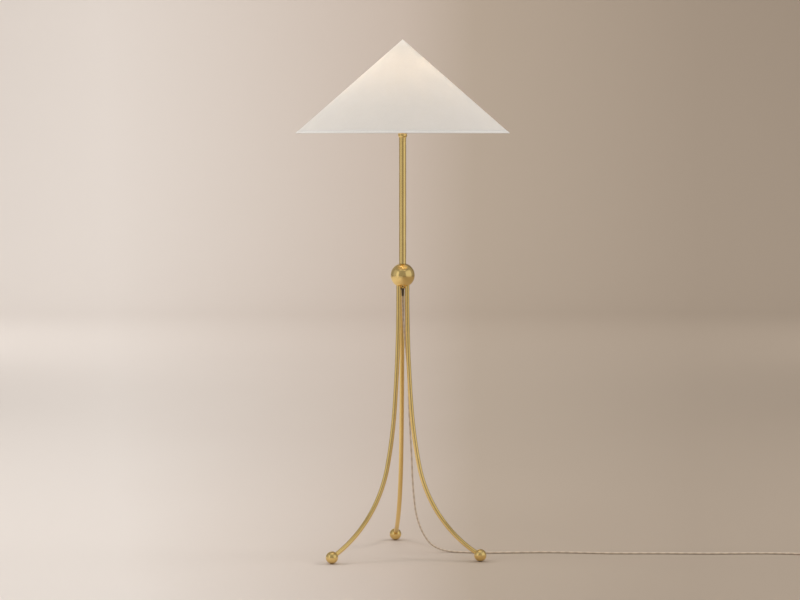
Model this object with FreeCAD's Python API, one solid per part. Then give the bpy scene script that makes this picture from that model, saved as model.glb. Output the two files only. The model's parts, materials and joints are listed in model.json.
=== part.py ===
import FreeCAD, Part
import os
from math import atan2, cos, degrees, hypot, pi, radians, sin, sqrt, tan
from FreeCAD import Vector

# Tripod floor lamp. Millimetres, +Z up. The origin is on the floor at the lamp's axis, and the
# rear leg points along +Y. The two front legs are 120 degrees either side of it.

# Driving dimensions
HEIGHT = 1600.0            # floor to the point of the shade
RIM_Z = 1312.0             # lower edge of the shade
RIM_RADIUS = 330.0
HUB_Z = 874.0              # centre of the brass ball between the legs
HUB_RADIUS = 37.5
HUB_WALL = 2.5
STEM_RADIUS = 11.0
STEM_WALL = 1.5
ROD_RADIUS = 7.0
FOOT_CIRCLE = 263.4        # lamp axis to the centre of a foot ball
FOOT_RADIUS = 19.0
FOOT_LIFT = 0.5            # the felt glide holds the ball this far off the floor
GLIDE_RADIUS = 6.0
GLIDE_HEIGHT = 3.0
LEG_ANGLES = {"rear": 90.0, "left": 210.0, "right": 330.0}
CORD_RADIUS = 3.0

# Each leg rod hangs straight from the hub, then bends outwards in three tangent arcs. The third
# arc's radius follows from where the foot is.
ROD_ATTACH = 15.5
ROD_STRAIGHT_END = 816.0
ROD_ARCS = ((4300.0, 4.73), (1340.0, 12.5))    # radius, angle from vertical at its lower end

# Hub: a steel plate inside the ball carries the three rods
PLATE_Z = HUB_Z - 14.0
PLATE_THICK = 6.0
PLATE_RADIUS = 31.5
TENON_RADIUS = 4.0
TENON_LENGTH = 16.0
WASHER_RADIUS = 8.0
WASHER_THICK = 1.5
NUT_FLATS = 13.0
NUT_HEIGHT = 6.5
HUB_BOTTOM_SEAT = HUB_Z - 36.5
HUB_TOP_SEAT = HUB_Z + 36.2
LIP_WALL = 1.8
LIP_HEIGHT = 6.0
TONGUE_DEPTH = 5.0
FIT_GAP = 0.15             # clearance round a rod or a tenon in its hole

# A threaded pipe runs from under the hub to the lamp holder and clamps the whole column
PIPE_RADIUS = 4.85
PIPE_BORE = 3.6
PIPE_HOLE = 4.95
THREAD_GAP = 0.02
LOCK_NUT_RADIUS = 7.0
LOCK_NUT_THICK = 3.0
BOTTOM_NUT_THICK = 3.5
RELIEF_LENGTH = 24.0
RELIEF_FLANGE = 4.0

# Top of the stem
STEM_TOP = 1303.0
COLLAR_RADIUS = 14.0
COLLAR_TOP = 1313.0
COLLAR_SKIRT = 3.5
PLUG_IN_STEM = 20.0        # length of the plug pressed into the stem's lower end
COLLAR_SPIGOT = 18.0       # how far the collar reaches down into the stem

# Lamp holder for an E26 bulb
HOLDER_RADIUS = 17.5
HOLDER_WALL = 1.0
HOLDER_SPLIT = COLLAR_TOP + 20.0
SEAT_TOP = COLLAR_TOP + 39.0          # flange that the shade's ring sits on
SEAT_RADIUS = 21.0
THREAD_RADIUS = 17.9
HOLDER_TOP = COLLAR_TOP + 58.0
CORE_RADIUS = 14.8
CORE_BOTTOM = COLLAR_TOP + 15.0
CORE_TOP = COLLAR_TOP + 33.0
SWITCH_Z = COLLAR_TOP + 27.0
SWITCH_SHAFT_RADIUS = 1.6
SWITCH_SHAFT_LENGTH = 21.0
KNOB_RADIUS = 5.5
KNOB_LENGTH = 10.0
KNOB_START = 19.5          # from the lamp's axis
KNOB_FLUTES = 10
RUNNING_GAP = 0.3

# Bulb, A19 size
BULB_RADIUS = 30.0
BULB_CONTACT_Z = CORE_TOP + 3.5
BULB_LENGTH = 109.0
BULB_CAP_RADIUS = 13.1
BULB_CAP_TOP = BULB_CONTACT_Z + 26.5
BULB_GLASS_WALL = 0.9
BULB_THREAD_PITCH = 3.6
BULB_THREAD_TURNS = 5

# Shade
SHADE_HEIGHT = HEIGHT - RIM_Z
FABRIC_THICK = 0.8
LINER_THICK = 1.5
HEM_HEIGHT = 8.0
HEM_THICK = 0.7
RIM_WIRE_RADIUS = 1.1
RING_RADIUS_INNER = 18.3
RING_RADIUS_OUTER = 23.0
RING_THICK = 1.9
ARM_RADIUS = 1.75
UPPER_RING_Z = 1470.0
ARM_ANGLES = (30.0, 150.0, 270.0)
ARM_BEND_RADIUS = 42.0     # where an arm turns upwards, from the lamp's axis
ARM_BEND_REACH = 14.0
FITTER_NUT_HEIGHT = 6.5
FITTER_NUT_GROOVES = 20

# Cord: the hand-laid route of its centre line, from the strain relief to the coil. It hangs
# beside the lamp's axis, reaches the floor between the rear and right legs, and runs off to +X.
ROUTE = (
    (0, 0, 810), (0, 0, 787), (2, 1, 754), (5, 3, 705), (10, 4, 652), (16, 5, 594), (19, 7, 528),
    (21, 10, 458), (25, 14, 384), (30, 19, 310), (33, 26, 238), (38, 31, 178), (44, 34, 128),
    (54, 36, 92), (69, 38, 57), (91, 38, 26), (118, 36, 10), (152, 29, 3), (201, 10, 3),
    (262, -3, 3), (338, -4, 3), (414, -6, 3), (490, -13, 3), (560, -27, 3), (633, -43, 3),
    (709, -51, 3), (787, -56, 3), (862, -65, 3), (936, -75, 3), (1009, -80, 3),
    (1084, -82, 3), (1158, -90, 3), (1224, -104, 3), (1286, -120, 3), (1336, -132, 3),
)
# Coil of the put-away length: three turns side by side and one and a half on top of them. The
# cord comes in along the outermost turn and leaves from a turn of the upper layer.
COIL_RADIUS = 33.0
COIL_TURNS = 4.5
COIL_WIDTH = 6.0 * CORD_RADIUS
COIL_HEIGHT = 4.0 * CORD_RADIUS
COIL_ENTRY_RADIUS = COIL_RADIUS + 2.0 * CORD_RADIUS
COIL_EXIT_RADIUS = COIL_RADIUS + CORD_RADIUS
COIL_LEAD = 30.0                      # straight lead from the route's end to the ring
TIE_WIDTH = 5.0
TIE_THICK = 0.8
PLUG_LENGTH = 30.0
PLUG_WIDTH = 24.0
PLUG_THICK = 14.0
PLUG_NECK = 16.0
PLUG_LEAD = 34.0
BLADE_LENGTH = 16.0
BLADE_SPACING = 12.7

X_AXIS = Vector(1, 0, 0)
Z_AXIS = Vector(0, 0, 1)
ORIGIN = Vector(0, 0, 0)
FULL_TURN = 360.0


# Helpers

def cylinder(radius, bottom, top, x=0.0, y=0.0):
    return Part.makeCylinder(radius, top - bottom, Vector(x, y, bottom))


def ring(inner, outer, bottom, top):
    return cylinder(outer, bottom, top).cut(cylinder(inner, bottom - 1, top + 1))


def turned(outline):
    """Solid of revolution about Z from a closed outline of (radius, z) points."""
    points = [Vector(r, 0, z) for r, z in outline]
    face = Part.Face(Part.makePolygon(points + points[:1]))
    return face.revolve(ORIGIN, Z_AXIS, FULL_TURN)


def turned_edges(edges):
    """Solid of revolution about Z from edges that close an outline in the XZ plane."""
    wire = Part.Wire(Part.__sortEdges__(edges))
    return Part.Face(wire).revolve(ORIGIN, Z_AXIS, FULL_TURN)


def hexagon(flats, bottom, top, x=0.0, y=0.0, turn=0.0):
    corner = flats / sqrt(3.0)
    points = []
    for i in range(6):
        a = radians(60.0 * i + turn)
        points.append(Vector(x + corner * cos(a), y + corner * sin(a), bottom))
    face = Part.Face(Part.makePolygon(points + points[:1]))
    return face.extrude(Vector(0, 0, top - bottom))


def about_axis(shape, angle):
    copy = shape.copy()
    copy.rotate(ORIGIN, Z_AXIS, angle)
    return copy


def swept(edges, radius):
    """Round bar along a smooth chain of edges."""
    path = Part.Wire(edges)
    first = edges[0]
    start = first.valueAt(first.FirstParameter)
    heading = first.tangentAt(first.FirstParameter)
    section = Part.Wire(Part.makeCircle(radius, start, heading))
    bar = path.makePipeShell([section], True, False)
    expected = pi * radius ** 2 * path.Length
    if abs(bar.Volume / expected - 1.0) > 0.01:
        raise ValueError("swept bar has volume %.0f, not %.0f" % (bar.Volume, expected))
    return bar


def rounded_route(points):
    """Straight runs joined by tangent arcs, each as large as its two runs allow."""
    points = [Vector(*p) for p in points]
    edges = []
    radii = []
    at = points[0]
    for before, corner, after in zip(points, points[1:], points[2:]):
        back = (before - corner).normalize()
        on = (after - corner).normalize()
        turn = pi - back.getAngle(on)
        reach = 0.45 * min((before - corner).Length, (after - corner).Length)
        start = corner + back * reach
        end = corner + on * reach
        radius = reach / tan(turn / 2.0)
        radii.append(radius)
        inward = (back + on).normalize()
        middle = corner + inward * (hypot(reach, radius) - radius)
        edges.append(Part.LineSegment(at, start).toShape())
        edges.append(Part.Arc(start, middle, end).toShape())
        at = end
    edges.append(Part.LineSegment(at, points[-1]).toShape())
    return edges, radii


def cone_radius(z):
    """Radius of the shade's outer face at a height."""
    return RIM_RADIUS * (HEIGHT - z) / SHADE_HEIGHT


SHADE_SLOPE = atan2(RIM_RADIUS, SHADE_HEIGHT)


def inside_cone(z, depth):
    """Radius of the face that lies a depth inside the shade's outer face."""
    return cone_radius(z) - depth / cos(SHADE_SLOPE)


# Legs

def leg_edges():
    """Centre line of a leg rod in the XZ plane, foot towards +X, from the top down."""
    x = ROD_ATTACH
    z = ROD_STRAIGHT_END
    edges = [Part.LineSegment(Vector(x, 0, PLATE_Z), Vector(x, 0, z)).toShape()]
    angle = 0.0
    for radius, end_angle in ROD_ARCS:
        end = radians(end_angle)
        centre_x = x + radius * cos(angle)
        centre_z = z + radius * sin(angle)
        points = []
        for a in (angle, (angle + end) / 2.0, end):
            points.append(Vector(centre_x - radius * cos(a), 0, centre_z - radius * sin(a)))
        edges.append(Part.Arc(*points).toShape())
        x = points[-1].x
        z = points[-1].z
        angle = end
    foot_z = FOOT_LIFT + FOOT_RADIUS
    across = FOOT_CIRCLE - x
    down = foot_z - z
    radius = (across ** 2 + down ** 2) / (2.0 * (across * cos(angle) + down * sin(angle)))
    centre_x = x + radius * cos(angle)
    centre_z = z + radius * sin(angle)
    end = atan2(centre_z - foot_z, centre_x - FOOT_CIRCLE)
    middle = (angle + end) / 2.0
    points = []
    for a in (angle, middle, end):
        points.append(Vector(centre_x - radius * cos(a), 0, centre_z - radius * sin(a)))
    edges.append(Part.Arc(*points).toShape())
    print("leg: last arc radius %.1f, foot angle %.1f" % (radius, degrees(end)))
    return edges


def make_legs():
    rod = swept(leg_edges(), ROD_RADIUS)
    tenon = cylinder(TENON_RADIUS, PLATE_Z - 5, PLATE_Z + TENON_LENGTH, ROD_ATTACH)
    rod = rod.fuse(tenon).removeSplitter()
    ball = Part.makeSphere(FOOT_RADIUS, Vector(FOOT_CIRCLE, 0, FOOT_LIFT + FOOT_RADIUS))
    glide = cylinder(GLIDE_RADIUS, 0.0, GLIDE_HEIGHT, FOOT_CIRCLE)
    ball = ball.cut(rod).cut(glide)
    nut_bottom = PLATE_Z + PLATE_THICK + WASHER_THICK
    nut = hexagon(NUT_FLATS, nut_bottom, nut_bottom + NUT_HEIGHT, ROD_ATTACH)
    nut = nut.cut(cylinder(TENON_RADIUS + THREAD_GAP, 0, HEIGHT, ROD_ATTACH))
    washer = cylinder(WASHER_RADIUS, nut_bottom - WASHER_THICK, nut_bottom, ROD_ATTACH)
    washer = washer.cut(cylinder(TENON_RADIUS + 0.2, 0, HEIGHT, ROD_ATTACH))
    nodes = {}
    for name, angle in LEG_ANGLES.items():
        nodes["leg_" + name] = about_axis(rod, angle)
        nodes["foot_ball_" + name] = about_axis(ball, angle)
        nodes["leg_nut_" + name] = about_axis(nut, angle)
    nodes["leg_washers"] = Part.makeCompound([about_axis(washer, a) for a in LEG_ANGLES.values()])
    nodes["foot_glides"] = Part.makeCompound([about_axis(glide, a) for a in LEG_ANGLES.values()])
    return nodes


# Hub and column

def make_hub():
    centre = Vector(0, 0, HUB_Z)
    ball = Part.makeSphere(HUB_RADIUS, centre).cut(Part.makeSphere(HUB_RADIUS - HUB_WALL, centre))
    above = cylinder(HUB_RADIUS + 1, HUB_Z, HUB_Z + HUB_RADIUS + 1)
    lower = ball.cut(above)
    lower = lower.cut(cylinder(HUB_RADIUS, HUB_Z - HUB_RADIUS - 1, HUB_BOTTOM_SEAT))
    lower = lower.cut(cylinder(PIPE_HOLE, 0, HUB_Z))
    for angle in LEG_ANGLES.values():
        hole = cylinder(ROD_RADIUS + FIT_GAP, 0, HUB_Z, ROD_ATTACH)
        lower = lower.cut(about_axis(hole, angle))
    upper = ball.common(above)
    upper = upper.cut(cylinder(HUB_RADIUS, HUB_TOP_SEAT, HUB_Z + HUB_RADIUS + 1))
    upper = upper.cut(cylinder(PIPE_HOLE, HUB_Z, HEIGHT))
    lip_inner = HUB_RADIUS - HUB_WALL - LIP_WALL
    lip = ring(lip_inner, HUB_RADIUS - 1, HUB_Z, HUB_Z + LIP_HEIGHT)
    lip = lip.common(Part.makeSphere(HUB_RADIUS - 1, centre))
    tongue = ring(lip_inner, HUB_RADIUS, HUB_Z - TONGUE_DEPTH, HUB_Z)
    tongue = tongue.common(Part.makeSphere(HUB_RADIUS - HUB_WALL - 0.1, centre))
    upper = upper.fuse([lip, tongue]).removeSplitter()
    plate_top = PLATE_Z + PLATE_THICK
    plate = ring(PIPE_HOLE, PLATE_RADIUS, PLATE_Z, plate_top)
    for angle in LEG_ANGLES.values():
        hole = cylinder(TENON_RADIUS + FIT_GAP, 0, HUB_Z, ROD_ATTACH)
        plate = plate.cut(about_axis(hole, angle))
    thread = PIPE_RADIUS + THREAD_GAP
    nuts = (
        ring(thread, LOCK_NUT_RADIUS, PLATE_Z - LOCK_NUT_THICK, PLATE_Z),
        ring(thread, LOCK_NUT_RADIUS, plate_top, plate_top + LOCK_NUT_THICK),
    )
    nut_bottom = HUB_BOTTOM_SEAT - BOTTOM_NUT_THICK
    relief_end = ROUTE[0][2]
    relief_top = relief_end + RELIEF_LENGTH
    relief = turned((
        (0, relief_end), (CORD_RADIUS + 0.7, relief_end), (5.2, relief_top - RELIEF_FLANGE),
        (6.6, relief_top - RELIEF_FLANGE), (6.6, relief_top), (0, relief_top),
    ))
    return {
        "hub_shell_lower": lower,
        "hub_shell_upper": upper,
        "hub_plate": plate,
        "hub_lock_nuts": Part.makeCompound(nuts),
        "hub_bottom_nut": ring(thread, LOCK_NUT_RADIUS + 0.2, nut_bottom, HUB_BOTTOM_SEAT),
        "strain_relief": relief,
    }


def make_column():
    pipe_bottom = HUB_BOTTOM_SEAT - BOTTOM_NUT_THICK + 1.0
    pipe_top = COLLAR_TOP + 6.0
    stem_bore = STEM_RADIUS - STEM_WALL
    collar = turned((
        (PIPE_HOLE, STEM_TOP - COLLAR_SPIGOT), (stem_bore - 0.1, STEM_TOP - COLLAR_SPIGOT),
        (stem_bore - 0.1, STEM_TOP),
        (STEM_RADIUS + 0.05, STEM_TOP), (STEM_RADIUS + 0.05, STEM_TOP - COLLAR_SKIRT),
        (STEM_RADIUS + 0.6, STEM_TOP - COLLAR_SKIRT), (COLLAR_RADIUS, STEM_TOP + 1),
        (COLLAR_RADIUS, COLLAR_TOP - 2), (COLLAR_RADIUS - 1.5, COLLAR_TOP),
        (PIPE_HOLE, COLLAR_TOP),
    ))
    return {
        "stem_tube": ring(stem_bore, STEM_RADIUS, HUB_TOP_SEAT, STEM_TOP),
        "stem_lower_plug": ring(PIPE_HOLE, stem_bore - 0.1, HUB_TOP_SEAT, HUB_TOP_SEAT + PLUG_IN_STEM),
        "lamp_pipe": ring(PIPE_BORE, PIPE_RADIUS, pipe_bottom, pipe_top),
        "stem_collar": collar,
        "inner_cord": cylinder(CORD_RADIUS, ROUTE[0][2] + RELIEF_LENGTH, pipe_top + 3),
    }


# Lamp holder, switch and bulb

def make_holder():
    base = COLLAR_TOP
    out = HOLDER_RADIUS
    inner = HOLDER_RADIUS - HOLDER_WALL
    cap = turned((
        (PIPE_HOLE, base), (9, base), (14, base + 4), (out, base + 10), (out, HOLDER_SPLIT),
        (inner, HOLDER_SPLIT), (inner, base + 10.4), (13.4, base + 5), (8.6, base + 1.2),
        (PIPE_HOLE, base + 1.2),
    ))
    nut = hexagon(14.0, base + 1.2, base + 5.2)
    nut = nut.cut(cylinder(PIPE_RADIUS + THREAD_GAP, base, base + 10))
    core = cylinder(CORE_RADIUS, CORE_BOTTOM, CORE_TOP)
    bore = Part.makeCylinder(SWITCH_SHAFT_RADIUS + 0.05, 12, Vector(6, 0, SWITCH_Z), X_AXIS)
    core = core.cut(bore)
    shell = turned((
        (inner, HOLDER_SPLIT), (out, HOLDER_SPLIT), (out, SEAT_TOP - 2), (SEAT_RADIUS, SEAT_TOP - 2),
        (SEAT_RADIUS, SEAT_TOP), (THREAD_RADIUS, SEAT_TOP), (THREAD_RADIUS, HOLDER_TOP),
        (inner, HOLDER_TOP),
    ))
    lining = ring(inner - 0.6, inner - 0.1, HOLDER_SPLIT, HOLDER_TOP - 1)
    window = Part.makeCylinder(3.4, 10, Vector(12, 0, SWITCH_Z), X_AXIS)
    screws = []
    wires = []
    for side in (1, -1):
        screw = cylinder(2.5, CORE_BOTTOM - 2, CORE_BOTTOM, 0, side * 9)
        screws.append(screw)
        wire_z = CORE_BOTTOM - 3
        low = base + 9
        bend = wire_z - low - 1
        first = Part.LineSegment(Vector(0, side * 1.4, low), Vector(0, side * 1.4, low + 1))
        middle = Vector(0, side * (1.4 + bend - bend / sqrt(2)), low + 1 + bend / sqrt(2))
        end = Vector(0, side * (1.4 + bend), wire_z)
        curve = Part.Arc(Vector(0, side * 1.4, low + 1), middle, end)
        last = Part.LineSegment(end, Vector(0, side * 9, wire_z))
        wires.append(swept([first.toShape(), curve.toShape(), last.toShape()], 1.0))
    contact = cylinder(4.0, CORE_TOP, CORE_TOP + 3.2)
    return {
        "holder_cap": cap,
        "holder_lock_nut": nut,
        "holder_core": core,
        "holder_shell": shell.cut(window),
        "holder_lining": lining.cut(window),
        "screw_shell": ring(13.6, 14.1, CORE_TOP, HOLDER_TOP - 1.5),
        "centre_contact": contact,
        "terminal_screws": Part.makeCompound(screws),
        "lead_wires": Part.makeCompound(wires),
    }


def make_switch():
    shaft = Part.makeCylinder(SWITCH_SHAFT_RADIUS, SWITCH_SHAFT_LENGTH, Vector(6.3, 0, SWITCH_Z), X_AXIS)
    knob = Part.makeCylinder(KNOB_RADIUS, KNOB_LENGTH, Vector(KNOB_START, 0, SWITCH_Z), X_AXIS)
    knob = knob.makeChamfer(0.8, [e for e in knob.Edges if e.BoundBox.XLength < 0.01])
    for i in range(KNOB_FLUTES):
        a = 2 * pi * i / KNOB_FLUTES
        at = Vector(19, (KNOB_RADIUS + 0.5) * cos(a), SWITCH_Z + (KNOB_RADIUS + 0.5) * sin(a))
        knob = knob.cut(Part.makeCylinder(1.1, 12, at, X_AXIS))
    bore = Part.makeCylinder(SWITCH_SHAFT_RADIUS + THREAD_GAP, 8.3, Vector(19, 0, SWITCH_Z), X_AXIS)
    return {"switch_shaft": shaft, "switch_knob": knob.cut(bore)}


def make_bulb():
    top = BULB_CONTACT_Z + BULB_LENGTH
    centre_z = top - BULB_RADIUS
    cap_bottom = BULB_CONTACT_Z + 2.5
    envelope = []
    for shrink in (0.0, BULB_GLASS_WALL):
        radius = BULB_RADIUS - shrink
        neck = BULB_CAP_RADIUS - 0.3 - shrink
        low = BULB_CAP_TOP
        # The side is a straight taper that leaves the round top at this angle below its middle
        leave = radians(38.0)
        side = Vector(radius * cos(leave), 0, centre_z - radius * sin(leave))
        shoulder = Vector(neck + 0.6, 0, low + 9)
        start = Vector(0, 0, centre_z + radius)
        arc = Part.Arc(start, Vector(radius, 0, centre_z), side)
        edges = [
            arc.toShape(),
            Part.LineSegment(side, shoulder).toShape(),
            Part.LineSegment(shoulder, Vector(neck, 0, low)).toShape(),
            Part.LineSegment(Vector(neck, 0, low), Vector(0, 0, low)).toShape(),
            Part.LineSegment(Vector(0, 0, low), start).toShape(),
        ]
        envelope.append(turned_edges(edges))
    glass = envelope[0].cut(envelope[1])
    outline = [(0, cap_bottom), (9.5, cap_bottom)]
    pitch = BULB_THREAD_PITCH
    z = cap_bottom + 2.5
    for _ in range(BULB_THREAD_TURNS):
        outline.append((BULB_CAP_RADIUS - 0.9, z))
        outline.append((BULB_CAP_RADIUS, z + pitch * 0.3))
        outline.append((BULB_CAP_RADIUS, z + pitch * 0.6))
        z += pitch
    outline += [(BULB_CAP_RADIUS - 0.9, z), (BULB_CAP_RADIUS, BULB_CAP_TOP), (0, BULB_CAP_TOP)]
    contact = turned((
        (0, BULB_CONTACT_Z), (3.0, BULB_CONTACT_Z), (4.5, BULB_CONTACT_Z + 1),
        (9.0, cap_bottom), (0, cap_bottom),
    ))
    return {"bulb_glass": glass, "bulb_cap": turned(outline), "bulb_contact": contact}


# Shade

def make_shade():
    edge_z = RIM_Z + 3.2
    nodes = {}
    layers = (("shade_fabric", 0.0, FABRIC_THICK),
              ("shade_liner", FABRIC_THICK, FABRIC_THICK + LINER_THICK))
    for name, outer, inner in layers:
        nodes[name] = turned((
            (0, HEIGHT - outer / sin(SHADE_SLOPE)), (inside_cone(edge_z, outer), edge_z),
            (inside_cone(edge_z, inner), edge_z), (0, HEIGHT - inner / sin(SHADE_SLOPE)),
        ))
    depth = FABRIC_THICK + LINER_THICK
    hem_top = RIM_Z + HEM_HEIGHT
    floor_z = RIM_Z + HEM_THICK
    nodes["rim_hem"] = turned((
        (cone_radius(hem_top), hem_top), (cone_radius(hem_top) + HEM_THICK + 0.2, hem_top),
        (RIM_RADIUS, floor_z), (RIM_RADIUS - 0.8, RIM_Z),
        (inside_cone(RIM_Z, depth) - 1.2, RIM_Z), (inside_cone(hem_top, depth) - 0.9, hem_top),
        (inside_cone(hem_top, depth), hem_top), (inside_cone(floor_z, depth), floor_z),
        (cone_radius(floor_z), floor_z),
    ))
    wire_z = floor_z + RIM_WIRE_RADIUS + 0.05
    wire_r = (cone_radius(wire_z) + inside_cone(wire_z, depth)) / 2.0
    nodes["rim_wire"] = Part.makeTorus(wire_r, RIM_WIRE_RADIUS, Vector(0, 0, wire_z))
    ring_bottom = SEAT_TOP + RUNNING_GAP
    ring_top = ring_bottom + RING_THICK
    nodes["fitter_ring"] = ring(RING_RADIUS_INNER, RING_RADIUS_OUTER, ring_bottom, ring_top)
    upper_r = inside_cone(UPPER_RING_Z, depth + ARM_RADIUS + 0.05)
    upper = Part.makeTorus(upper_r, ARM_RADIUS, Vector(0, 0, UPPER_RING_Z))
    nodes["upper_ring"] = upper
    arm_z = (ring_bottom + ring_top) / 2.0
    start = Vector(RING_RADIUS_OUTER, 0, arm_z)
    bend = Vector(ARM_BEND_RADIUS, 0, arm_z)
    end = Vector(upper_r, 0, UPPER_RING_Z)
    slope = (end - bend).normalize()
    reach = ARM_BEND_REACH
    turn = X_AXIS.getAngle(slope)
    bend_radius = reach / tan(turn / 2.0)
    inward = (slope - X_AXIS).normalize()
    middle = bend + inward * (hypot(reach, bend_radius) - bend_radius)
    edges = [
        Part.LineSegment(start, bend - X_AXIS * reach).toShape(),
        Part.Arc(bend - X_AXIS * reach, middle, bend + slope * reach).toShape(),
        Part.LineSegment(bend + slope * reach, end).toShape(),
    ]
    arm = swept(edges, ARM_RADIUS).cut(upper).cut(nodes["fitter_ring"])
    arm = max(arm.Solids, key=lambda s: s.Volume)
    nodes["spider_arms"] = Part.makeCompound([about_axis(arm, a) for a in ARM_ANGLES])
    nut_bottom = ring_top + RUNNING_GAP
    nut = ring(THREAD_RADIUS + 0.1, RING_RADIUS_OUTER - 0.5, nut_bottom, nut_bottom + FITTER_NUT_HEIGHT)
    for i in range(FITTER_NUT_GROOVES):
        a = 2 * pi * i / FITTER_NUT_GROOVES
        at = RING_RADIUS_OUTER
        nut = nut.cut(cylinder(1.2, nut_bottom - 1, nut_bottom + 8, at * cos(a), at * sin(a)))
    nodes["fitter_nut"] = nut
    return nodes


# Cord, its coil and its plug

def make_cord():
    edges, radii = rounded_route(ROUTE)
    cord = swept(edges, CORD_RADIUS)
    length = sum(e.Length for e in edges)
    print("cord tube %.0f long, radii %s" % (length, " ".join("%.0f" % r for r in radii)))
    end = Vector(*ROUTE[-1])
    heading = (end - Vector(*ROUTE[-2])).normalize()
    left = Z_AXIS.cross(heading)
    ring_foot = end + heading * COIL_LEAD
    centre = ring_foot + left * COIL_ENTRY_RADIUS
    centre.z = 0.0
    inner = COIL_RADIUS - COIL_WIDTH / 2
    outer = COIL_RADIUS + COIL_WIDTH / 2
    coil = ring(inner, outer, 0, COIL_HEIGHT)
    coil = coil.makeFillet(CORD_RADIUS * 0.9, [e for e in coil.Edges if e.Closed])
    coil.translate(centre)
    lead = Part.makeCylinder(CORD_RADIUS, COIL_LEAD, end, heading)
    # The plug's lead leaves the far side of the ring, parallel to the incoming cord
    plug_start = centre + left * COIL_EXIT_RADIUS + Vector(0, 0, PLUG_THICK / 2)
    back = heading * -1.0
    out = Part.makeCylinder(CORD_RADIUS, PLUG_LEAD, plug_start, back)
    coil = coil.fuse([lead, out]).removeSplitter()
    coil_length = COIL_LEAD + PLUG_LEAD + COIL_TURNS * 2 * pi * COIL_RADIUS
    print("coil lead and turns %.0f, whole cord %.0f" % (coil_length, length + coil_length))
    plug_at = plug_start + back * PLUG_LEAD
    blades_at = plug_at + back * (PLUG_NECK + PLUG_LENGTH)
    print("coil centre %.1f %.1f, heading %.4f %.4f" % (centre.x, centre.y, heading.x, heading.y))
    print("blades start at %.1f %.1f %.1f" % tuple(blades_at))
    nodes = {"cord": cord}
    nodes["plug_body"], nodes["plug_blades"] = make_plug(plug_at, back)
    tie_angle = degrees(atan2(heading.y, heading.x))
    tie = Part.makeBox(COIL_WIDTH + 2 * TIE_THICK, TIE_WIDTH, COIL_HEIGHT + TIE_THICK,
                       Vector(inner - TIE_THICK, -TIE_WIDTH / 2, 0))
    hollow = Part.makeBox(COIL_WIDTH, TIE_WIDTH + 2, COIL_HEIGHT - TIE_THICK,
                          Vector(inner, -TIE_WIDTH / 2 - 1, TIE_THICK))
    tie = about_axis(tie.cut(hollow), tie_angle)
    tie.translate(centre)
    coil = coil.cut(tie)
    nodes["cord_coil"] = max(coil.Solids, key=lambda s: s.Volume)
    nodes["cord_tie"] = tie
    return nodes


def make_plug(at, heading):
    """Two-blade plug lying flat, its cord entering at a point and its blades along a heading."""
    neck_radius = CORD_RADIUS + 1.0
    neck = Part.makeCone(neck_radius, neck_radius + 2.0, PLUG_NECK, ORIGIN, X_AXIS)
    box = Part.makeBox(PLUG_LENGTH, PLUG_WIDTH, PLUG_THICK,
                       Vector(PLUG_NECK, -PLUG_WIDTH / 2, -PLUG_THICK / 2))
    box = box.makeFillet(3.0, [e for e in box.Edges if e.BoundBox.XLength > PLUG_LENGTH - 1])
    body = neck.fuse(box).removeSplitter()
    blades = []
    for side in (0.5, -0.5):
        corner = Vector(PLUG_NECK + PLUG_LENGTH, side * BLADE_SPACING - 0.75, -3.2)
        blade = Part.makeBox(BLADE_LENGTH, 1.5, 6.4, corner)
        hole_at = Vector(PLUG_NECK + PLUG_LENGTH + 12, side * BLADE_SPACING - 2, 0)
        blades.append(blade.cut(Part.makeCylinder(1.6, 4, hole_at, Vector(0, 1, 0))))
    angle = degrees(atan2(heading.y, heading.x))
    placed = []
    for shape in (body, Part.makeCompound(blades)):
        shape = about_axis(shape, angle)
        shape.translate(at)
        placed.append(shape)
    return placed


def main():
    nodes = {}
    makers = (make_legs, make_hub, make_column, make_holder, make_switch, make_bulb,
              make_shade, make_cord)
    for make in makers:
        nodes.update(make())
    os.makedirs("parts", exist_ok=True)
    for name, shape in nodes.items():
        if not shape.isValid() or not shape.Solids:
            raise ValueError("%s is not a valid solid" % name)
        shape.exportStep("parts/%s.step" % name)
    print("%d nodes" % len(nodes))


main()
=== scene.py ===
import json
from math import cos, pi, radians, sin, sqrt
import bpy
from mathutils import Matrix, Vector


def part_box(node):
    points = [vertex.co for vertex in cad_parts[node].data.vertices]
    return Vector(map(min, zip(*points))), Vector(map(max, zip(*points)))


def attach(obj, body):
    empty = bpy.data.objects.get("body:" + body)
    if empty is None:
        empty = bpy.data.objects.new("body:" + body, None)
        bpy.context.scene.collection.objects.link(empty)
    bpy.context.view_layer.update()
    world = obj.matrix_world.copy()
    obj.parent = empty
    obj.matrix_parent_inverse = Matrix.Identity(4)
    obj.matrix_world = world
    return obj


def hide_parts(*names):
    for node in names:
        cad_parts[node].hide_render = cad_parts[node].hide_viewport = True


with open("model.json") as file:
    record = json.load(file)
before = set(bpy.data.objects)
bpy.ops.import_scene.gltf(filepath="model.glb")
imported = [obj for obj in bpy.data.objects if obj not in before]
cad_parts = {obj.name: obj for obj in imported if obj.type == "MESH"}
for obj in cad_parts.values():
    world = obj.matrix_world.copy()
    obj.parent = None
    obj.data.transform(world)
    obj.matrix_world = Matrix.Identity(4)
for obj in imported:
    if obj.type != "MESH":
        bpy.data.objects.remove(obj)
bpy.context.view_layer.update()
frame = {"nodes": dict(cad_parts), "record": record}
MM = 0.001
NODES = frame["nodes"]


# Camera: the eye is level with the shade's rim, and looks slightly down

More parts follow.
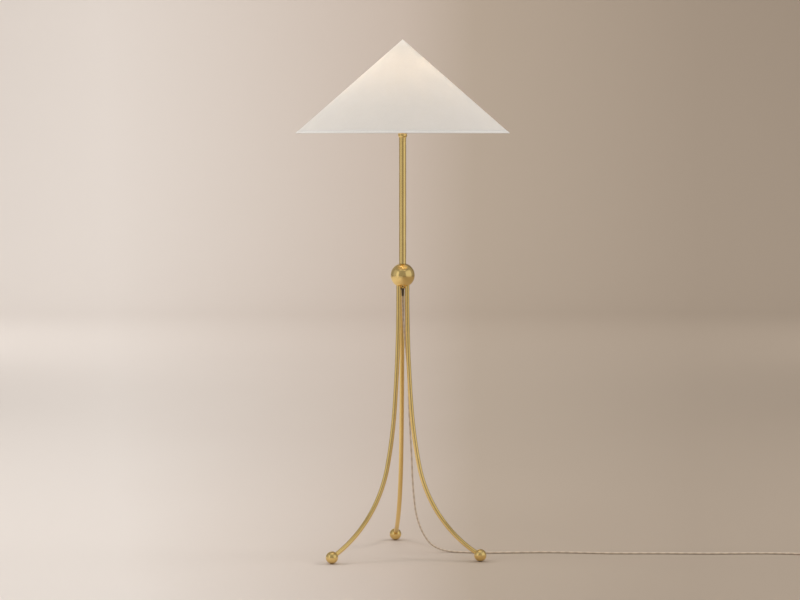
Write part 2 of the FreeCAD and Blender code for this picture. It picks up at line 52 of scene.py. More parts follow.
RIM_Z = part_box("rim_hem")[0].z
CAMERA_DISTANCE = 7.07
CAMERA_AZIMUTH = radians(5.0)
CAMERA_PITCH = radians(4.1635)
CAMERA_PAN = radians(0.065)
CAMERA_LENS = 103.05
SENSOR_WIDTH = 36.0
ACROSS = Vector((cos(CAMERA_AZIMUTH), -sin(CAMERA_AZIMUTH), 0))
AHEAD = Vector((sin(CAMERA_AZIMUTH), cos(CAMERA_AZIMUTH), 0))
UP = Vector((0, 0, 1))


def studio_point(right, forward, up):
    """A point given by how far it is right of, behind and above the lamp's foot, as the camera sees it."""
    return ACROSS * right + AHEAD * forward + UP * up


def make_camera():
    data = bpy.data.cameras.new("camera")
    data.lens = CAMERA_LENS
    data.sensor_width = SENSOR_WIDTH
    data.clip_end = 60.0
    camera = bpy.data.objects.new("camera", data)
    bpy.context.scene.collection.objects.link(camera)
    camera.location = studio_point(0, -CAMERA_DISTANCE, RIM_Z)
    camera.rotation_euler = (pi / 2 - CAMERA_PITCH, 0, CAMERA_PAN - CAMERA_AZIMUTH)
    bpy.context.scene.camera = camera


make_camera()


# Mesh helpers

ON_AXIS = 1e-7               # a smaller radius than this is a point on the axis


def new_piece(name, points, faces, body, material, smooth=True, uv=None):
    mesh = bpy.data.meshes.new(name)
    mesh.from_pydata([tuple(p) for p in points], [], faces)
    mesh.update()
    for polygon in mesh.polygons:
        polygon.use_smooth = smooth
    if uv:
        layer = mesh.uv_layers.new(name="UVMap")
        for polygon in mesh.polygons:
            for loop, place in zip(polygon.loop_indices, uv[polygon.index]):
                layer.data[loop].uv = place
    piece = bpy.data.objects.new(name, mesh)
    bpy.context.scene.collection.objects.link(piece)
    piece.data.materials.append(material)
    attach(piece, body)
    return piece


def lathe(name, outline, steps, body, material, closed=False, place_uv=None):
    """Turns an outline of (radius, height) about the upright axis. A closed outline makes a ring."""
    points = []
    rings = []
    for radius, height in outline:
        count = steps if radius > ON_AXIS else 1
        rings.append(range(len(points), len(points) + count))
        for i in range(count):
            a = 2 * pi * i / steps
            points.append((radius * cos(a), radius * sin(a), height))
    faces = []
    uv = []
    pairs = list(zip(range(len(rings)), range(1, len(rings))))
    if closed:
        pairs.append((len(rings) - 1, 0))
    for low, high in pairs:
        for i in range(steps):
            corners = [(low, i), (low, i + 1), (high, i + 1), (high, i)]
            if len(rings[low]) == 1:
                corners.pop(1)
            elif len(rings[high]) == 1:
                corners.pop(2)
            faces.append([rings[r][j % len(rings[r])] for r, j in corners])
            if place_uv:
                uv.append([place_uv(outline[r], i / steps, (j - i) / steps) for r, j in corners])
    return new_piece(name, points, faces, body, material, uv=uv)


def tube_faces(rings, steps):
    """Quads between rings of points, and a face over each end."""
    faces = []
    for ring in range(rings - 1):
        for i in range(steps):
            a = ring * steps + i
            b = ring * steps + (i + 1) % steps
            faces.append((a, b, b + steps, a + steps))
    faces.append(tuple(reversed(range(steps))))
    faces.append(tuple(range((rings - 1) * steps, rings * steps)))
    return faces


# Materials

LINEN_THROUGH = 0.42         # share of the light that goes through
BACKING_THROUGH = 0.8
LINEN_PITCH = 0.8 * MM       # two threads of the weave


def new_material(name, **surface):
    material = bpy.data.materials.new(name)
    material.use_nodes = True
    tree = material.node_tree
    shader = tree.nodes["Principled BSDF"]
    for socket, value in surface.items():
        shader.inputs[socket.replace("_", " ")].default_value = value
    return material, tree, shader


def add(tree, kind, values=None, **settings):
    node = tree.nodes.new("ShaderNode" + kind)
    for key, value in settings.items():
        setattr(node, key, value)
    for socket, value in (values or {}).items():
        node.inputs[socket].default_value = value
    return node


def coordinates(tree, kind, scale=(1, 1, 1)):
    source = add(tree, "TexCoord")
    mapping = add(tree, "Mapping", {"Scale": scale})
    tree.links.new(source.outputs[kind], mapping.inputs["Vector"])
    return mapping.outputs["Vector"]


def noise(tree, vector, scale, detail=3.0, roughness=0.55):
    node = add(tree, "TexNoise", {"Scale": scale, "Detail": detail, "Roughness": roughness})
    tree.links.new(vector, node.inputs["Vector"])
    return node.outputs["Fac"]


def ramp(tree, value, stops):
    node = add(tree, "ValToRGB")
    elements = node.color_ramp.elements
    while len(elements) < len(stops):
        elements.new(0.5)
    for element, (position, colour) in zip(elements, stops):
        element.position = position
        element.color = (*colour, 1.0)
    tree.links.new(value, node.inputs["Fac"])
    return node.outputs["Color"]


def remap(tree, value, low, high, start=0.0, end=1.0):
    node = add(tree, "MapRange", {"From Min": start, "From Max": end, "To Min": low, "To Max": high})
    tree.links.new(value, node.inputs["Value"])
    return node.outputs["Result"]


def maths(tree, operation, first, second=None):
    node = add(tree, "Math", operation=operation)
    for i, value in enumerate((first, second)):
        if value is None:
            continue
        if isinstance(value, (int, float)):
            node.inputs[i].default_value = value
        else:
            tree.links.new(value, node.inputs[i])
    return node.outputs[0]


def bump(tree, height, strength, distance, shader):
    node = add(tree, "Bump", {"Strength": strength, "Distance": distance})
    tree.links.new(height, node.inputs["Height"])
    tree.links.new(node.outputs["Normal"], shader.inputs["Normal"])
    return node.outputs["Normal"]


def let_through(tree, shader, share, colour, normal=None):
    """Makes the surface pass a share of the light that falls on its other side."""
    through = add(tree, "BsdfTranslucent", {"Color": (*colour, 1.0)})
    if normal:
        tree.links.new(normal, through.inputs["Normal"])
    mix = add(tree, "MixShader", {"Fac": share})
    tree.links.new(shader.outputs["BSDF"], mix.inputs[1])
    tree.links.new(through.outputs["BSDF"], mix.inputs[2])
    tree.links.new(mix.outputs["Shader"], tree.nodes["Material Output"].inputs["Surface"])


def split_uv(tree):
    """The parts of the UV map's vector, as the outputs X and Y."""
    source = add(tree, "TexCoord")
    parts = add(tree, "SeparateXYZ")
    tree.links.new(source.outputs["UV"], parts.inputs["Vector"])
    return parts.outputs


def brass(name, light, dark, rough_low, rough_high):
    material, tree, shader = new_material(name, Metallic=1.0)
    spread = coordinates(tree, "Object")
    tone = noise(tree, spread, 9.0, 4.0)
    tree.links.new(ramp(tree, tone, ((0.3, dark), (0.7, light))), shader.inputs["Base Color"])
    smudge = noise(tree, spread, 14.0, 3.0, 0.5)
    tree.links.new(remap(tree, smudge, rough_low, rough_high, 0.3, 0.7), shader.inputs["Roughness"])
    along = coordinates(tree, "Object", (700, 700, 5))
    bump(tree, noise(tree, along, 1.0, 2.0), 0.02, 0.00005, shader)
    return material


def linen(name, light, dark, glow):
    """Plain-woven linen, laid out in metres by its UV map. With a glow colour it lets light through."""
    material, tree, shader = new_material(name, Roughness=0.85, Sheen_Weight=0.15)
    places = split_uv(tree)
    waves = []
    for axis in ("X", "Y"):
        angle = maths(tree, "MULTIPLY", places[axis], 2 * pi / LINEN_PITCH)
        waves.append(maths(tree, "SINE", angle))
    weave = maths(tree, "MULTIPLY", *waves)
    slubs = []
    for scale in ((1300, 45, 1), (45, 1300, 1)):
        slubs.append(noise(tree, coordinates(tree, "UV", scale), 1.0, 2.0))
    slub = maths(tree, "ADD", *slubs)
    cloud = noise(tree, coordinates(tree, "UV", (1, 1, 1)), 14.0, 3.0)
    mixed = maths(tree, "ADD", slub, maths(tree, "MULTIPLY", cloud, 0.5))
    colour = ramp(tree, remap(tree, mixed, 0.0, 1.0, 0.85, 1.65), ((0.2, dark), (0.8, light)))
    tree.links.new(colour, shader.inputs["Base Color"])
    height = maths(tree, "ADD", maths(tree, "MULTIPLY", weave, 0.5), slub)
    normal = bump(tree, height, 0.35, 0.00025, shader)
    if glow:
        let_through(tree, shader, LINEN_THROUGH, glow, normal)
    return material


def painted(name, colour, roughness, grain, bump_distance, **surface):
    """Plastic, paint or card: one colour with slight mottling and a fine moulded grain."""
    material, tree, shader = new_material(name, **surface)
    spread = coordinates(tree, "Object")
    dark = tuple(0.86 * c for c in colour)
    tone = ramp(tree, noise(tree, spread, 60.0), ((0.3, dark), (0.7, colour)))
    tree.links.new(tone, shader.inputs["Base Color"])
    rough = remap(tree, noise(tree, spread, 140.0), roughness - 0.06, roughness + 0.06, 0.3, 0.7)
    tree.links.new(rough, shader.inputs["Roughness"])
    bump(tree, noise(tree, spread, grain, 2.0), 0.25, bump_distance, shader)
    return material


def backing(name):
    """White laminate on the inside of the shade, which scatters light and lets some through."""
    material, tree, shader = new_material(name, Roughness=0.6)
    spread = coordinates(tree, "Object")
    colour = ramp(tree, noise(tree, spread, 20.0), ((0.3, (0.84, 0.83, 0.80)), (0.7, (0.88, 0.87, 0.84))))
    tree.links.new(colour, shader.inputs["Base Color"])
    let_through(tree, shader, BACKING_THROUGH, (0.95, 0.93, 0.90))
    return material


def steel(name):
    material, tree, shader = new_material(name, Metallic=1.0)
    spread = coordinates(tree, "Object")
    tone = ramp(tree, noise(tree, spread, 55.0), ((0.3, (0.50, 0.51, 0.53)), (0.7, (0.62, 0.63, 0.65))))
    tree.links.new(tone, shader.inputs["Base Color"])
    tree.links.new(remap(tree, noise(tree, spread, 90.0), 0.28, 0.45, 0.3, 0.7), shader.inputs["Roughness"])
    return material


def lit_glass(name, strength):
    """Frosted envelope of a lamp that is on."""
    material, tree, shader = new_material(name, Roughness=0.45, Coat_Weight=0.4)
    spread = coordinates(tree, "Object")
    frost = ramp(tree, noise(tree, spread, 30.0), ((0.3, (0.92, 0.88, 0.80)), (0.7, (0.96, 0.93, 0.87))))
    tree.links.new(frost, shader.inputs["Base Color"])
    shader.inputs["Emission Color"].default_value = (1.0, 0.88, 0.70, 1.0)
    shader.inputs["Emission Strength"].default_value = strength
    return material


def braid(name, light, dark, pitch_along, strands):
    """Braided textile sleeve. The UV map runs along the cord in u and round it in v."""
    material, tree, shader = new_material(name, Roughness=0.8, Sheen_Weight=0.25)
    places = split_uv(tree)
    along = maths(tree, "MULTIPLY", places["X"], pitch_along)
    round_it = maths(tree, "MULTIPLY", places["Y"], 2 * pi * strands)
    first = maths(tree, "SINE", maths(tree, "ADD", along, round_it))
    second = maths(tree, "SINE", maths(tree, "SUBTRACT", along, round_it))
    cross = maths(tree, "MULTIPLY", first, second)
    thread = remap(tree, cross, 0.0, 1.0, -1.0, 1.0)
    tone = ramp(tree, thread, ((0.15, dark), (0.75, light)))
    tree.links.new(tone, shader.inputs["Base Color"])
    bump(tree, thread, 0.6, 0.0004, shader)
    return material


BRASS = brass("polished_brass", (0.89, 0.665, 0.285), (0.82, 0.60, 0.225), 0.12, 0.20)
HOLDER_BRASS = brass("holder_brass", (0.80, 0.58, 0.28), (0.70, 0.49, 0.22), 0.26, 0.40)
LINEN = linen("linen", (0.905, 0.905, 0.905), (0.83, 0.828, 0.822), (0.95, 0.90, 0.82))
HEM_LINEN = linen("hem_linen", (0.77, 0.745, 0.715), (0.70, 0.675, 0.645), None)
BACKING = backing("shade_backing")
WHITE_WIRE = painted("white_wire", (0.82, 0.82, 0.80), 0.4, 900.0, 0.00005)
STEEL = steel("zinc_steel")
PHENOLIC = painted("black_phenolic", (0.025, 0.023, 0.021), 0.35, 1500.0, 0.00004)
CARD = painted("insulating_card", (0.30, 0.22, 0.14), 0.8, 700.0, 0.0001)
WIRE_PLASTIC = painted("wire_insulation", (0.5, 0.48, 0.45), 0.45, 900.0, 0.00003)
FITTING = painted("cord_fittings", (0.12, 0.086, 0.06), 0.5, 1400.0, 0.00005)
FELT = painted("felt", (0.30, 0.25, 0.19), 0.95, 2500.0, 0.0004, Sheen_Weight=0.4)
CONTACT = brass("plug_contacts", (0.80, 0.66, 0.38), (0.72, 0.57, 0.30), 0.2, 0.3)
BULB_METAL = steel("bulb_metal")
GLASS = lit_glass("frosted_glass", 1.3)
CORD_BRAID = braid("woven_cord", (0.69, 0.575, 0.455), (0.52, 0.42, 0.325), 900.0, 5)

FINISHES = {
    "polished_brass": BRASS, "holder_brass": HOLDER_BRASS, "zinc_steel": STEEL, "felt": FELT,
    "black_phenolic": PHENOLIC, "insulating_card": CARD, "wire_insulation": WIRE_PLASTIC,
    "woven_cord": CORD_BRAID, "cord_fittings": FITTING, "plug_contacts": CONTACT,
    "frosted_glass": GLASS, "bulb_metal": BULB_METAL, "linen": LINEN, "linen_hem": HEM_LINEN,
    "shade_backing": BACKING, "white_wire": WHITE_WIRE,
}


def finish_cad_nodes():
    for subpart in frame["record"]["subparts"]:
        node = NODES[subpart["node"]]
        node.data.materials.clear()
        node.data.materials.append(FINISHES[subpart["material_slot"]])


finish_cad_nodes()
NODES["upper_ring"].visible_shadow = False   # its line would show through the backing


# Cord: the same route as the CAD tube, then the turns of the coil, then the lead to the plug

CORD_RADIUS = 3.0            # this section's sizes are in millimetres
ROUTE = (
    (0, 0, 810), (0, 0, 787), (2, 1, 754), (5, 3, 705), (10, 4, 652), (16, 5, 594), (19, 7, 528),
    (21, 10, 458), (25, 14, 384), (30, 19, 310), (33, 26, 238), (38, 31, 178), (44, 34, 128),
    (54, 36, 92), (69, 38, 57), (91, 38, 26), (118, 36, 10), (152, 29, 3), (201, 10, 3),
    (262, -3, 3), (338, -4, 3), (414, -6, 3), (490, -13, 3), (560, -27, 3), (633, -43, 3),
    (709, -51, 3), (787, -56, 3), (862, -65, 3), (936, -75, 3), (1009, -80, 3),
    (1084, -82, 3), (1158, -90, 3), (1224, -104, 3), (1286, -120, 3), (1336, -132, 3),
)
COIL_LEAD = 30.0
COIL_ENTRY_RADIUS = 39.0
COIL_EXIT_RADIUS = 36.0
COIL_TURNS = 4.5
COIL_FLOOR_TURNS = 2.0       # turns that lie on the floor
COIL_CLIMB_END = 2.35        # by here the cord lies on top of the first turns
COIL_PITCH = 6.1             # from one turn to the next
COIL_POINTS_PER_TURN = 16
PLUG_LEAD = 34.0
PLUG_Z = 7.0
RELIEF_RINGS = 6
RELIEF_FLANGE = 4 * MM
STRAP_THICK = 0.8
STRAP_HALF_LENGTH = 9.0 + STRAP_THICK
STRAP_HALF_WIDTH = 2.5
STRAP_TOP = 12.6
STRAP_CORNER = 2.6
STRAP_OUT = 33.0             # from the coil's centre to the strap's middle
PLUG_NECK = 16.0
PLUG_BODY = 30.0
PLUG_STEPS = 40


def coil_points():
    """Control points of the coil, and where the plug's neck starts and which way it points."""
    end = Vector(ROUTE[-1])
    heading = (end - Vector(ROUTE[-2])).normalized()
    left = UP.cross(heading)
    centre = end + heading * COIL_LEAD + left * COIL_ENTRY_RADIUS
    widen = 1 / cos(pi / COIL_POINTS_PER_TURN)
    points = []
    count = round(COIL_TURNS * COIL_POINTS_PER_TURN)
    for i in range(count + 1):
        turn = i / COIL_POINTS_PER_TURN
        inward = min(turn, COIL_CLIMB_END)
        outward = max(turn - COIL_CLIMB_END, 0.0)
        radius = COIL_ENTRY_RADIUS - COIL_PITCH * (inward - outward)
        climb = (turn - COIL_FLOOR_TURNS) / (COIL_CLIMB_END - COIL_FLOOR_TURNS)
        climb = min(max(climb, 0.0), 1.0)
        height = 2 * CORD_RADIUS * climb * climb * (3 - 2 * climb)
        a = 2 * pi * turn
        spot = centre + (heading * sin(a) - left * cos(a)) * radius * widen
        points.append(spot + UP * height)
    plug = centre + left * COIL_EXIT_RADIUS - heading * PLUG_LEAD
    plug.z = PLUG_Z
    for share in (0.45, 0.8):
        start = centre + left * (COIL_EXIT_RADIUS + 1.5)
        start.z = 3 * CORD_RADIUS
        points.append(start.lerp(plug, share))
    points.append(plug - heading * 4.0)
    return points, plug, -heading, centre, left


def make_cord_curve():
    turns, plug, plug_heading, centre, left = coil_points()
    points = [Vector(p) for p in ROUTE] + turns[1:]
    data = bpy.data.curves.new("mains_cord", "CURVE")
    data.dimensions = "3D"
    data.bevel_depth = CORD_RADIUS * MM
    data.bevel_resolution = 4
    data.resolution_u = 6
    data.use_fill_caps = True
    spline = data.splines.new("NURBS")
    spline.points.add(len(points) - 1)
    for target, point in zip(spline.points, points):
        target.co = (*(point * MM), 1.0)
    spline.order_u = 3
    spline.use_endpoint_u = True
    spline.use_smooth = True
    cord = bpy.data.objects.new("mains_cord", data)
    bpy.context.scene.collection.objects.link(cord)
    data.materials.append(CORD_BRAID)
    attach(cord, "stand")
    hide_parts("cord", "cord_coil")
    return cord, plug, plug_heading, centre, left


def make_relief():
    """Tapered strain relief with moulded rings, under the hub."""
    low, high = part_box("strain_relief")
    bottom = low.z
    height = high.z - low.z
    outline = [(0, bottom), (3.2 * MM, bottom), (3.6 * MM, bottom + 0.4 * MM)]
    for i in range(RELIEF_RINGS):
        for part, depth in ((0.1, 0), (0.55, 0), (0.65, 0.5), (0.95, 0.5)):
            share = (i + part) / RELIEF_RINGS
            z = bottom + 0.6 * MM + share * (height - RELIEF_FLANGE - 1.2 * MM)
            radius = (3.5 + 0.8 * share - 0.7 * depth) * MM
            outline.append((radius, z))
    outline += [(4.3 * MM, high.z - RELIEF_FLANGE), (5.4 * MM, high.z - RELIEF_FLANGE),
                (5.8 * MM, high.z - RELIEF_FLANGE + 0.4 * MM), (5.8 * MM, high.z), (0, high.z)]
    relief = lathe("ribbed_relief", outline, 32, "stand", FITTING)
    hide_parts("strain_relief")
    return relief


def make_tie(centre, left, side):
    """Strap round the coil's turns: a band with round corners."""
    section = []
    reach = STRAP_HALF_LENGTH - STRAP_CORNER
    for cx, cz, start in ((reach, STRAP_TOP - STRAP_CORNER, 0), (-reach, STRAP_TOP - STRAP_CORNER, 90),
                          (-reach, STRAP_CORNER, 180), (reach, STRAP_CORNER, 270)):
        for step in range(5):
            a = radians(start + 90 * step / 4)
            section.append((cx + STRAP_CORNER * cos(a), cz + STRAP_CORNER * sin(a)))
    points = []
    middle = STRAP_TOP / 2
    for offset, shrink in ((-STRAP_HALF_WIDTH, 0.0), (STRAP_HALF_WIDTH, 0.0),
                           (STRAP_HALF_WIDTH, STRAP_THICK), (-STRAP_HALF_WIDTH, STRAP_THICK)):
        for x, z in section:
            scale_x = (abs(x) - shrink) / abs(x)
            scale_z = (abs(z - middle) - shrink) / abs(z - middle)
            spot = centre + side * (STRAP_OUT + x * scale_x) + left * offset
            points.append((spot.x * MM, spot.y * MM, (middle + (z - middle) * scale_z) * MM))
    faces = []
    count = len(section)
    for loop in range(4):
        following = (loop + 1) % 4
        for i in range(count):
            beside = (i + 1) % count
            faces.append((loop * count + i, loop * count + beside,
                          following * count + beside, following * count + i))
    tie = new_piece("coil_strap", points, faces, "stand", FITTING, smooth=False)
    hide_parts("cord_tie")
    return tie


def make_plug(at, heading):
    """Two-blade plug: a tapered ribbed neck and a rounded body with grip grooves, lying flat."""
    side = UP.cross(heading)
    stations = []
    for i in range(8):
        share = i / 7
        groove = 0.5 if i % 2 else 0.0
        radius = 4.0 + 2.0 * share - groove
        stations.append((PLUG_NECK * share, radius, radius, 2.0))
    for share, half_width, half_height, power in (
            (0.03, 8.5, 6.3, 2.4), (0.10, 10.6, 6.8, 3.2), (0.22, 11.6, 7.0, 4.0), (0.30, 11.2, 6.6, 4.0),
            (0.36, 11.7, 7.0, 4.0), (0.44, 11.3, 6.6, 4.0), (0.50, 11.8, 7.0, 4.0), (0.58, 11.4, 6.6, 4.0),
            (0.64, 12.0, 7.0, 4.0), (0.90, 12.0, 7.0, 4.0), (0.97, 11.7, 6.8, 4.0), (1.0, 11.0, 6.2, 4.0)):
        stations.append((PLUG_NECK + PLUG_BODY * share, half_width, half_height, power))
    points = []
    for x, half_width, half_height, power in stations:
        for i in range(PLUG_STEPS):
            a = 2 * pi * i / PLUG_STEPS
            c = abs(cos(a)) ** (2 / power) * (1 if cos(a) >= 0 else -1)
            s = abs(sin(a)) ** (2 / power) * (1 if sin(a) >= 0 else -1)
            spot = at + heading * x + side * half_width * c + UP * half_height * s
            points.append(spot * MM)
    faces = tube_faces(len(stations), PLUG_STEPS)
    plug = new_piece("plug_moulding", points, faces, "stand", FITTING)
    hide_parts("plug_body")
    return plug


cord, plug_at, plug_heading, coil_centre, coil_left = make_cord_curve()
relief = make_relief()
tie = make_tie(coil_centre, coil_left, plug_heading)
plug = make_plug(plug_at, plug_heading)


# Shade

APEX_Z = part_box("shade_fabric")[1].z
RIM_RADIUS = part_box("rim_hem")[1].x
SHADE_HEIGHT = APEX_Z - RIM_Z
SLANT = sqrt(RIM_RADIUS ** 2 + SHADE_HEIGHT ** 2)
SLOPE_SIN = RIM_RADIUS / SLANT
SLOPE_COS = SHADE_HEIGHT / SLANT
FABRIC = 0.8 * MM
LINER = 1.5 * MM
HEM_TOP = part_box("rim_hem")[1].z
FABRIC_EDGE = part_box("shade_fabric")[0].z
SHADE_STEPS = 192
HEM_FOLD = 0.6 * MM
SEAM_TURN = 0.25             # the seam is at the back, over the rear leg
SEAM_WIDTH = 6 * MM
SEAM_THICK = 0.5 * MM
SEAM_TOP = APEX_Z - 6 * MM
SEAM_ROWS = 60


def cone_radius(z, depth=0.0):
    return RIM_RADIUS * (APEX_Z - z) / SHADE_HEIGHT - depth / SLOPE_COS


def flat_place(outline_point, turn, step):
    """Where a point of the cone lies on the flat cloth, in metres, with the seam at SEAM_TURN.

    The turn is that of its face's first edge, and the step leads on to the point's own edge.
    """
    radius, _ = outline_point
    slant = radius / SLOPE_SIN
    around = (turn - SEAM_TURN) % 1.0 + step
    angle = 2 * pi * around * SLOPE_SIN
    return slant * cos(angle), slant * sin(angle)


def cone_line(depth, rows=12):
    """Points down the slope at a depth below the surface. A close pair at the edge keeps it crisp."""
    top = APEX_Z - depth / SLOPE_SIN
    shares = [i / rows for i in range(rows)] + [1 - 0.6 * MM / SHADE_HEIGHT, 1]
    line = []
    for share in shares:
        z = top + (FABRIC_EDGE - top) * share
        line.append((max(cone_radius(z, depth), 0.0), z))
    return line


def cone_shell(name, outer, inner, material):
    outline = cone_line(outer) + cone_line(inner)[::-1]
    return lathe(name, outline, SHADE_STEPS, "shade", material, place_uv=flat_place)


def make_seam():
    """Folded lap where the cut cone closes, down the back of the shade."""
    half = SEAM_WIDTH / 2
    section = ((-half, -0.2 * MM), (-half, 0.15 * MM), (-half + 0.25 * MM, SEAM_THICK),
               (half - 0.6 * MM, SEAM_THICK), (half, 0.2 * MM), (half, -0.2 * MM))
    points = []
    places = []
    for row in range(SEAM_ROWS + 1):
        share = row / SEAM_ROWS
        z = SEAM_TOP + (HEM_TOP - 0.5 * MM - SEAM_TOP) * share
        narrow = min(1.0, cone_radius(z) / (3 * SEAM_WIDTH))
        for sideways, proud in section:
            out = cone_radius(z, -proud)
            points.append((sideways * narrow, out, z))
            places.append((z, sideways))
    width = len(section)
    faces = []
    for row in range(SEAM_ROWS):
        for i in range(width):
            a = row * width + i
            b = row * width + (i + 1) % width
            faces.append((a, a + width, b + width, b))
    faces.append(tuple(range(width)))
    faces.append(tuple(range((SEAM_ROWS + 1) * width - 1, SEAM_ROWS * width - 1, -1)))
    uv = [[places[i] for i in face] for face in faces]
    return new_piece("shade_seam", points, faces, "shade", LINEN, smooth=False, uv=uv)


def make_shade():
    cover = cone_shell("linen_cover", 0.0, FABRIC, LINEN)
    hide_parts("shade_fabric")
    lining = cone_shell("laminate_backing", FABRIC + 0.15 * MM, FABRIC + LINER, BACKING)
    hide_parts("shade_liner")
    depth = FABRIC + LINER
    outline = []
    top = HEM_TOP
    low = RIM_Z
    for z, out in ((top, 0.05), (top - 0.1 * MM, 0.6), (top - 0.5 * MM, 1.0), (top - 3 * MM, 0.95),
                   (low + 2.2 * MM, 1.0), (low + 1.0 * MM, 0.7), (low + 0.35 * MM, 0.1)):
        outline.append((cone_radius(z, -out * HEM_FOLD), z))
    outline.append((cone_radius(low, 0.9 * MM), low))
    outline.append((cone_radius(low, depth), low))
    for z, out in ((low + 0.35 * MM, 0.5), (low + 1.2 * MM, 0.9), (top - 0.6 * MM, 0.9), (top, 0.05)):
        outline.append((cone_radius(z, depth + out * HEM_FOLD), z))
    outline.append((cone_radius(low + 1.2 * MM, depth), low + 1.2 * MM))
    outline.append((cone_radius(low + 1.2 * MM, 0.0), low + 1.2 * MM))
    hem = lathe("linen_hem", outline, SHADE_STEPS, "shade", HEM_LINEN, closed=True,
                place_uv=lambda spot, turn, step: ((turn + step) * 2 * pi * RIM_RADIUS, spot[1]))
    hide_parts("rim_hem")
    seam = make_seam()


make_shade()


# Bulb

BALL_ARC = 128               # degrees from the top of the glass to where its neck starts
BALL_ROWS = 24
NECK_RADIUS = 12.8 * MM
NECK_ROWS = 10
THREAD_PITCH = 3.6 * MM
THREAD_WAVE = 0.45 * MM      # half the thread's depth
CAP_STEPS = 48
CAP_ROWS = 60


def make_glass():
    low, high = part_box("bulb_glass")
    radius = high.x
    centre_z = high.z - radius
    outline = [(0, high.z)]
    for i in range(1, BALL_ROWS + 1):
        a = radians(90 - BALL_ARC * i / BALL_ROWS)
        outline.append((radius * cos(a), centre_z + radius * sin(a)))
    start_r, start_z = outline[-1]
    for i in range(1, NECK_ROWS + 1):
        share = i / NECK_ROWS
        ease = share * share * (3 - 2 * share)
        z = start_z + (low.z + 6 * MM - start_z) * share
        outline.append((start_r + (NECK_RADIUS - start_r) * (0.45 * share + 0.55 * ease), z))
    outline += [(NECK_RADIUS, low.z), (0, low.z)]
    glass = lathe("bulb_envelope", outline, 64, "bulb", GLASS)
    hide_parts("bulb_glass")


def make_cap():
    """Screw cap with one thread that fades out at both ends."""
    low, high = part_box("bulb_cap")
    points = []
    for row in range(CAP_ROWS + 1):
        z = low.z + (high.z - low.z) * row / CAP_ROWS
        for i in range(CAP_STEPS):
            turn = i / CAP_STEPS
            wave = cos(2 * pi * ((z - low.z) / THREAD_PITCH - turn))
            edge = min(1.0, 8 * min(row, CAP_ROWS - row) / CAP_ROWS)
            r = high.x - (THREAD_WAVE - THREAD_WAVE * wave * edge)
            points.append((r * cos(2 * pi * turn), r * sin(2 * pi * turn), z))
    faces = tube_faces(CAP_ROWS + 1, CAP_STEPS)
    cap = new_piece("bulb_screw_cap", points, faces, "bulb", BULB_METAL)
    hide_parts("bulb_cap")


make_glass()
make_cap()


# Studio

PAPER_FRONT = -10.0          # all in metres, measured from the lamp's foot
PAPER_WALL = 12.5
PAPER_BEND = 3.0
PAPER_TOP = 12.0
PAPER_HALF_WIDTH = 12.0
PAPER_COLUMNS = 40
FLOOR_ROWS = 12
BEND_ROWS = 32
FALLOFF_HALF_WIDTH = 0.9       # half-width of the painted light falloff from pale to beige, where the lamp stands
FALLOFF_WIDEN = 0.13           # how much each half of it widens with every metre backwards
FALLOFF_LEAST = 0.2
STUDIO_WHITE = (1.0, 0.99, 0.975)


def make_stage():
    """Floor that curves up into a backdrop: one sheet of paper, with a painted light falloff from pale to
    beige across it.
    """
    profile = [(PAPER_FRONT, 0.0)]
    flat_end = PAPER_WALL - PAPER_BEND
    for i in range(1, FLOOR_ROWS + 1):
        profile.append((PAPER_FRONT + (flat_end - PAPER_FRONT) * i / FLOOR_ROWS, 0.0))
    for i in range(1, BEND_ROWS + 1):
        a = pi / 2 * i / BEND_ROWS
        profile.append((flat_end + PAPER_BEND * sin(a), PAPER_BEND - PAPER_BEND * cos(a)))
    profile.append((PAPER_WALL, PAPER_TOP))
    points = []
    places = []
    for row, (forward, up) in enumerate(profile):
        for column in range(PAPER_COLUMNS + 1):
            across = PAPER_HALF_WIDTH * (2 * column / PAPER_COLUMNS - 1)
            falloff_width = max(FALLOFF_HALF_WIDTH + FALLOFF_WIDEN * forward, FALLOFF_LEAST)
            points.append(studio_point(across, forward, up))
            places.append((0.5 + 0.5 * across / falloff_width, row / len(profile)))
    width = PAPER_COLUMNS + 1
    faces = []
    for row in range(len(profile) - 1):
        for column in range(PAPER_COLUMNS):
            corner = row * width + column
            faces.append((corner, corner + 1, corner + 1 + width, corner + width))
    mesh = bpy.data.meshes.new("studio_sweep")
    mesh.from_pydata([tuple(p) for p in points], [], faces)
    layer = mesh.uv_layers.new(name="UVMap")
    for polygon in mesh.polygons:
        polygon.use_smooth = True
        for loop in polygon.loop_indices:
            layer.data[loop].uv = places[mesh.loops[loop].vertex_index]
    sweep = bpy.data.objects.new("studio_sweep", mesh)
    bpy.context.scene.collection.objects.link(sweep)
    material, tree, shader = new_material("studio_paper", Roughness=0.9)
    # painted light: the paper's colour darkens to the right, standing in for light that falls off across
    # the studio
    tone = ramp(tree, split_uv(tree)["X"], ((0.0, (0.72, 0.665, 0.625)), (0.5, (0.545, 0.465, 0.405)),
                                           (0.62, (0.445, 0.37, 0.30)), (1.0, (0.38, 0.312, 0.249))))
    tree.links.new(tone, shader.inputs["Base Color"])
    mesh.materials.append(material)


def area_light(name, at, aim, size, radiance, reflected=True):
    """Rectangular panel. One that isn't reflected lights the studio but doesn't show in the brass."""
    data = bpy.data.lights.new(name, "AREA")
    data.shape = "RECTANGLE"
    data.size, data.size_y = size
    data.energy = radiance * pi * size[0] * size[1]
    data.color = STUDIO_WHITE
    light = bpy.data.objects.new(name, data)
    bpy.context.scene.collection.objects.link(light)
    light.location = at
    light.rotation_euler = (aim - at).to_track_quat("-Z", "Y").to_euler()
    light.visible_glossy = reflected
    light.visible_camera = False


def ring_point(angle, distance, height):
    """A point round the lamp: 0 degrees is towards the camera, and positive is to its right."""
    return studio_point(distance * sin(radians(angle)), -distance * cos(radians(angle)), height)


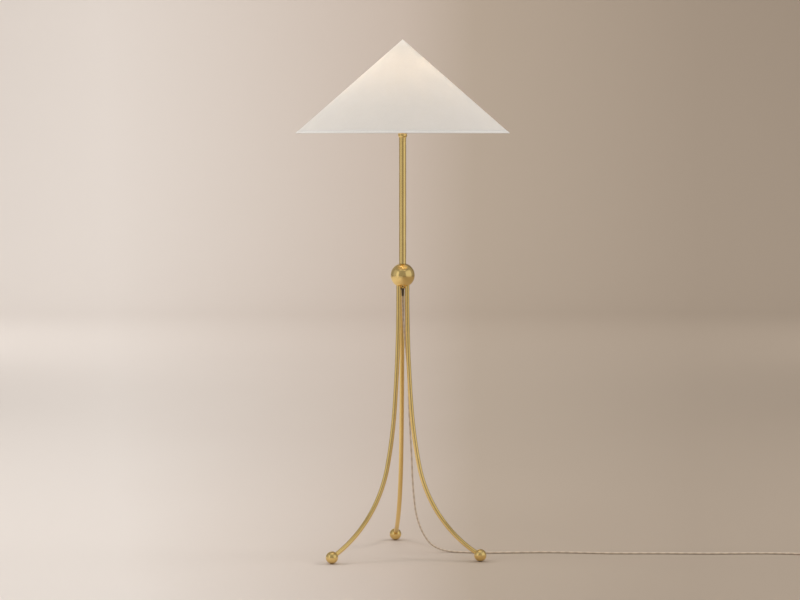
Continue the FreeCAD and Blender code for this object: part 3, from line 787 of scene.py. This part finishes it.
def make_lights():
    middle = Vector((0, 0, 0.9))
    area_light("left_panel", ring_point(-50, 4, 1.4), middle, (1.6, 4.2), 0.33)
    area_light("left_wide_panel", ring_point(-66, 4.1, 1.6), middle, (4.8, 5.0), 0.17)
    area_light("right_wide_panel", ring_point(64, 4.1, 1.6), middle, (5.0, 5.0), 0.37)
    area_light("top_panel", studio_point(0.0, -1.0, 5.5), middle, (5.0, 5.0), 0.30)
    area_light("left_key", ring_point(-95, 4.4, 3.8), middle, (2.0, 2.0), 8.2, False)
    area_light("right_key", ring_point(95, 5.0, 4.2), middle, (2.0, 2.0), 9.4, False)
    area_light("front_key", studio_point(0, -5.0, 4.0), middle, (3.0, 2.0), 1.7, False)
    area_light("floor_wash", studio_point(-0.6, -1.4, 4.6), studio_point(0, -0.8, 0),
               (2.0, 2.0), 1.2, False)
    area_light("middle_wash", studio_point(-0.6, 4.4, 5.6), studio_point(0, 5.0, 0),
               (5.0, 5.0), 1.45, False)
    area_light("back_wash", studio_point(-0.4, 9.0, 6.0), studio_point(0, 10.5, 0),
               (6.0, 4.0), 1.6, False)
    area_light("left_wash", studio_point(-5.0, 6.6, 3.0), studio_point(-1.2, 12.0, 2.0),
               (2.0, 4.0), 4.0, False)
    area_light("right_wash", studio_point(5.0, 6.6, 3.0), studio_point(1.2, 12.0, 2.0),
               (2.0, 4.0), 3.8, False)
    world = bpy.data.worlds.new("studio")
    world.use_nodes = True
    background = world.node_tree.nodes["Background"]
    background.inputs["Color"].default_value = (1.0, 0.955, 0.90, 1.0)
    background.inputs["Strength"].default_value = 0.36
    bpy.context.scene.world = world
    bpy.context.scene.view_settings.view_transform = "Standard"


BULB_GLOW_RADIUS = 51 * MM
BULB_GLOW_ENERGY = 0.84


def make_bulb_light():
    """The light that the bulb gives, from a ball that its glass fits inside."""
    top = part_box("bulb_glass")[1].z
    data = bpy.data.lights.new("bulb_light", "POINT")
    data.shadow_soft_size = BULB_GLOW_RADIUS
    data.energy = BULB_GLOW_ENERGY
    data.use_soft_falloff = False
    data.color = (1.0, 0.82, 0.62)
    light = bpy.data.objects.new("bulb_light", data)
    bpy.context.scene.collection.objects.link(light)
    light.location = (0, 0, top - BULB_GLOW_RADIUS + 1.0 * MM)
    light.visible_glossy = False
    light.visible_camera = False


make_stage()
make_lights()
make_bulb_light()
